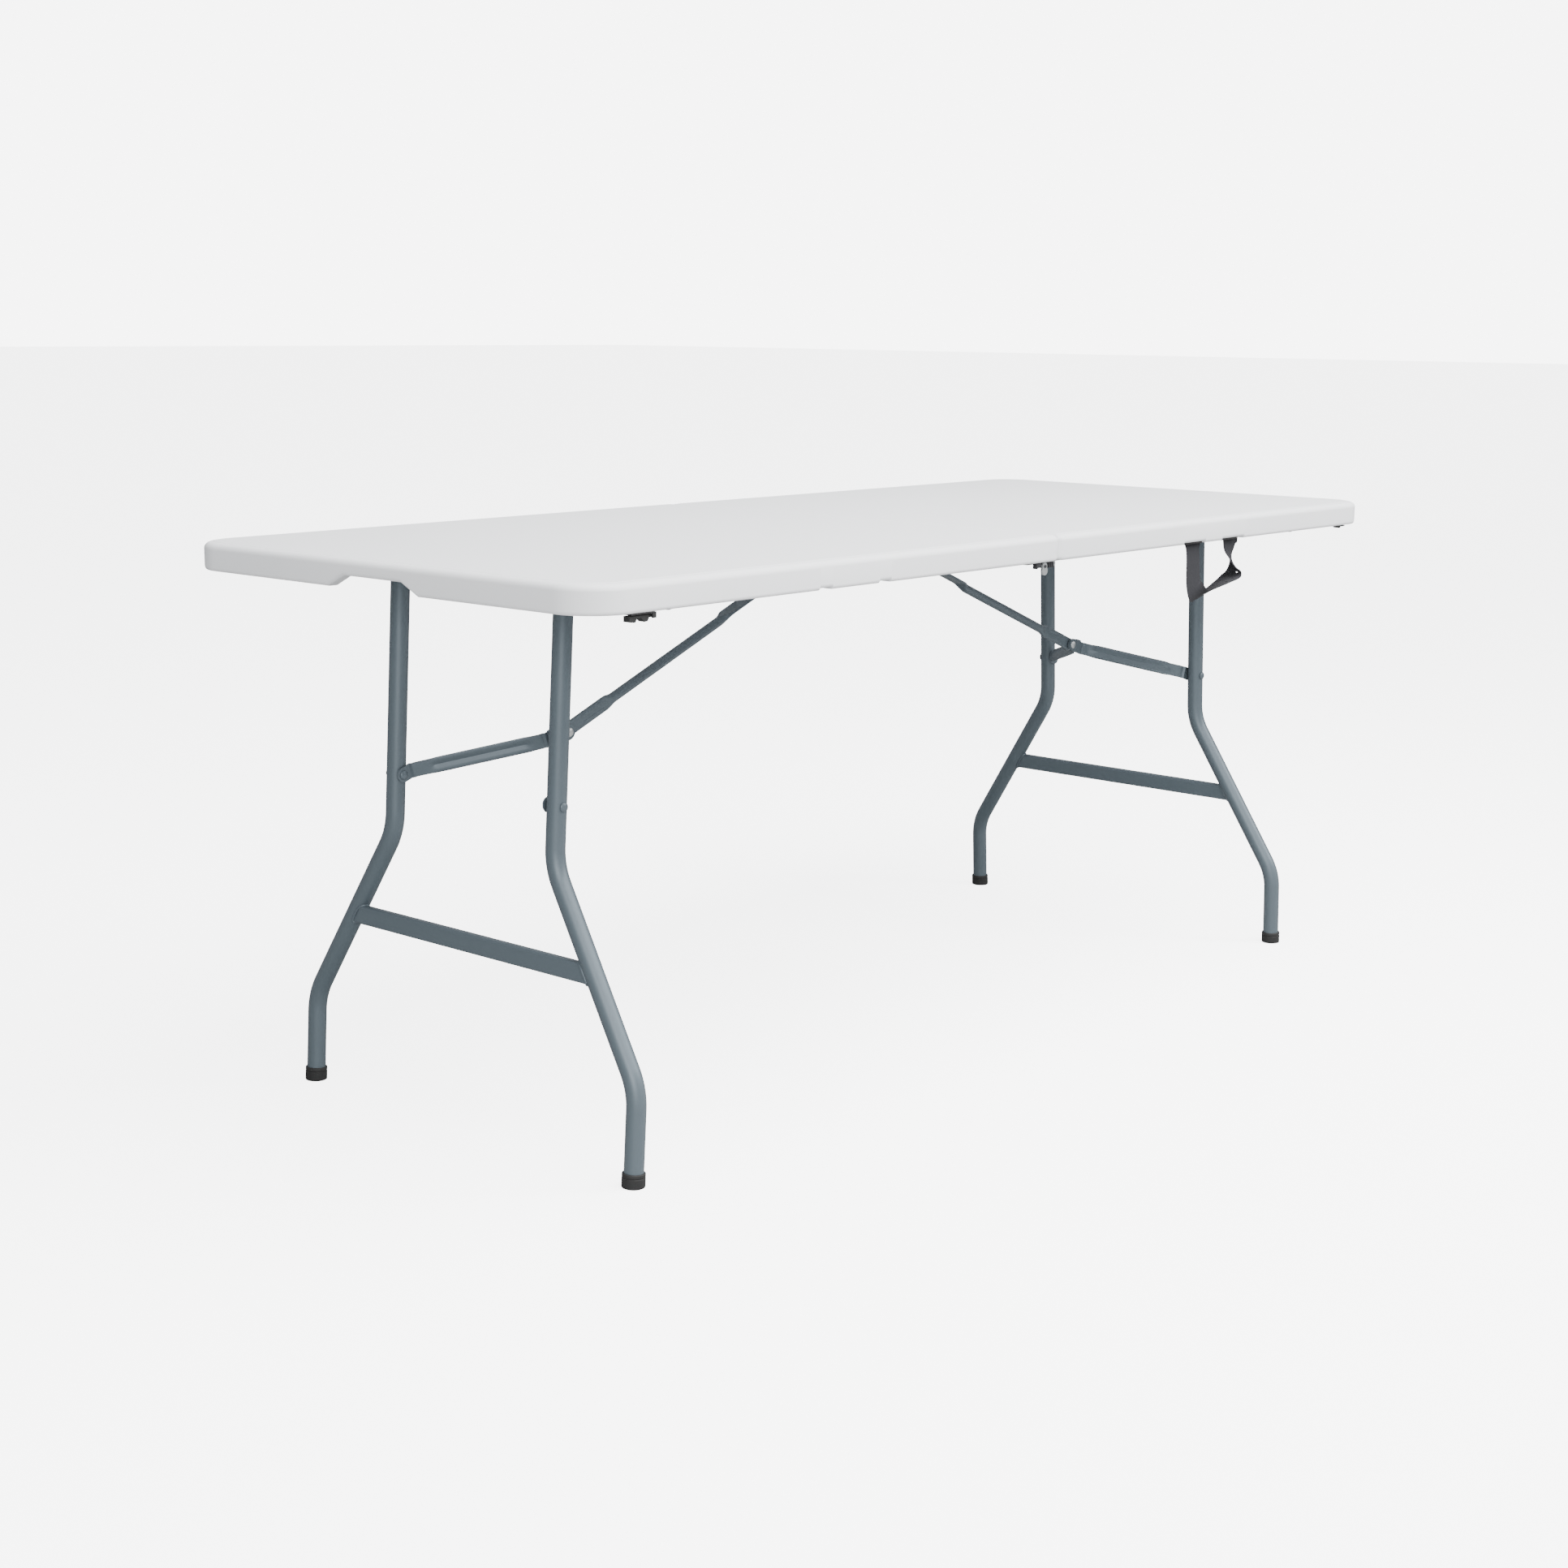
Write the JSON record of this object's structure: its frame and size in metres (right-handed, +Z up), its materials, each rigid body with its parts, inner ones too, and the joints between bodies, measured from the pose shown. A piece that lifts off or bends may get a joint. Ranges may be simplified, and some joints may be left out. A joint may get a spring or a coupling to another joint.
{
  "type": "folding table",
  "caption": "Fold-in-half table: white moulded top on two folding wishbone leg frames of hammered grey steel, with knee braces and a webbing carry handle.",
  "frame": {"origin": "on the floor under the middle of the table", "axes": "+X along the length of the top, the half with the carry handle towards +X; +Y across the width, away from the edge that carries the handle; +Z up"},
  "size_m": [1.8, 0.74, 0.74],
  "materials": {
    "moulded_white": "blow-moulded polyethylene, off-white, fine matte grain",
    "hammered_steel": "hammered blue-grey powder coat",
    "zinc_steel": "zinc-plated steel",
    "black_steel": "dark painted sheet steel",
    "black_plastic": "black moulded plastic",
    "black_webbing": "black woven polypropylene webbing"
  },
  "bodies": {
    "half_left": {"tabletop_left": "moulded_white", "rail_left_front": "hammered_steel", "rail_left_back": "hammered_steel", "leg_bracket_left_front": "hammered_steel", "leg_bracket_left_back": "hammered_steel", "hinge_leaf_left_front": "black_steel", "hinge_leaf_left_back": "black_steel", "hinge_pin_front": "zinc_steel", "hinge_pin_back": "zinc_steel", "brace_bracket_left": "hammered_steel", "brace_pin_left": "zinc_steel", "latch_bracket": "black_steel", "clip_base": "black_plastic"},
    "half_right": {"tabletop_right": "moulded_white", "rail_right_front": "hammered_steel", "rail_right_back": "hammered_steel", "leg_bracket_right_front": "hammered_steel", "leg_bracket_right_back": "hammered_steel", "hinge_leaf_right_front": "black_steel", "hinge_leaf_right_back": "black_steel", "brace_bracket_right": "hammered_steel", "brace_pin_right": "zinc_steel", "strap_anchor_inner": "black_plastic", "strap_anchor_outer": "black_plastic", "closing_peg": "black_plastic"},
    "leg_frame_left": {"leg_cross_tube_left": "hammered_steel", "leg_crossbar_left": "hammered_steel", "leg_tube_left_front": "hammered_steel", "leg_tube_left_back": "hammered_steel", "foot_cap_left_front": "black_plastic", "foot_cap_left_back": "black_plastic", "leg_rivet_left_front": "hammered_steel", "leg_rivet_left_back": "hammered_steel"},
    "brace_arms_left": {"brace_arm_left_front": "hammered_steel", "brace_arm_left_back": "hammered_steel", "knuckle_rivet_left_front": "zinc_steel", "knuckle_rivet_left_back": "zinc_steel", "brace_clevis_left": "hammered_steel"},
    "brace_left": {"brace_tube_left": "hammered_steel"},
    "leg_frame_right": {"leg_cross_tube_right": "hammered_steel", "leg_crossbar_right": "hammered_steel", "leg_tube_right_front": "hammered_steel", "leg_tube_right_back": "hammered_steel", "foot_cap_right_front": "black_plastic", "foot_cap_right_back": "black_plastic", "leg_rivet_right_front": "hammered_steel", "leg_rivet_right_back": "hammered_steel"},
    "brace_arms_right": {"brace_arm_right_front": "hammered_steel", "brace_arm_right_back": "hammered_steel", "knuckle_rivet_right_front": "zinc_steel", "knuckle_rivet_right_back": "zinc_steel", "brace_clevis_right": "hammered_steel"},
    "brace_right": {"brace_tube_right": "hammered_steel"},
    "latch_tongue": {"latch_tongue": "zinc_steel"},
    "closing_clip": {"closing_clip": "black_plastic"},
    "carry_strap": {"carry_strap": "black_webbing"}
  },
  "joints": [
    {"name": "table_fold", "type": "hinge", "parent": "half_left", "child": "half_right", "pos_m": [0, 0, 0.7], "axis": [0, 1, 0], "range_deg": [0, 90]},
    {"name": "leg_fold_left", "type": "hinge", "parent": "half_left", "child": "leg_frame_left", "pos_m": [-0.728, 0, 0.712], "axis": [0, -1, 0], "range_deg": [0, 93.3]},
    {"name": "arm_turn_left", "type": "hinge", "parent": "leg_frame_left", "child": "brace_arms_left", "pos_m": [-0.74357, 0, 0.44205], "axis": [0, -1, 0], "range_deg": [0, 68.25]},
    {"name": "brace_turn_left", "type": "hinge", "parent": "half_left", "child": "brace_left", "pos_m": [-0.028, 0, 0.716], "axis": [0, 1, 0], "range_deg": [0, 21.29]},
    {"name": "leg_fold_right", "type": "hinge", "parent": "half_right", "child": "leg_frame_right", "pos_m": [0.728, 0, 0.712], "axis": [0, 1, 0], "range_deg": [0, 93.3]},
    {"name": "arm_turn_right", "type": "hinge", "parent": "leg_frame_right", "child": "brace_arms_right", "pos_m": [0.74357, 0, 0.44205], "axis": [0, 1, 0], "range_deg": [0, 68.25]},
    {"name": "brace_turn_right", "type": "hinge", "parent": "half_right", "child": "brace_right", "pos_m": [0.028, 0, 0.716], "axis": [0, -1, 0], "range_deg": [0, 21.29]},
    {"name": "latch_swing", "type": "hinge", "parent": "half_left", "child": "latch_tongue", "pos_m": [-0.031, 0, 0.6985], "axis": [0, 1, 0], "range_deg": [-60, 60]},
    {"name": "clip_swing", "type": "hinge", "parent": "half_left", "child": "closing_clip", "pos_m": [-0.798, 0, 0.6996], "axis": [0, -1, 0], "range_deg": [0, 100]},
    {"name": "strap_swing", "type": "hinge", "parent": "half_right", "child": "carry_strap", "pos_m": [0.41, -0.358, 0.7012], "axis": [1, 0, 0], "range_deg": [-80, 60]}
  ],
  "couplings": [
    {"joint": "arm_turn_left", "follows": "leg_fold_left", "ratio": 0.73115},
    {"joint": "brace_turn_left", "follows": "leg_fold_left", "ratio": 0.22787},
    {"joint": "arm_turn_right", "follows": "leg_fold_right", "ratio": 0.73115},
    {"joint": "brace_turn_right", "follows": "leg_fold_right", "ratio": 0.22787}
  ]
}
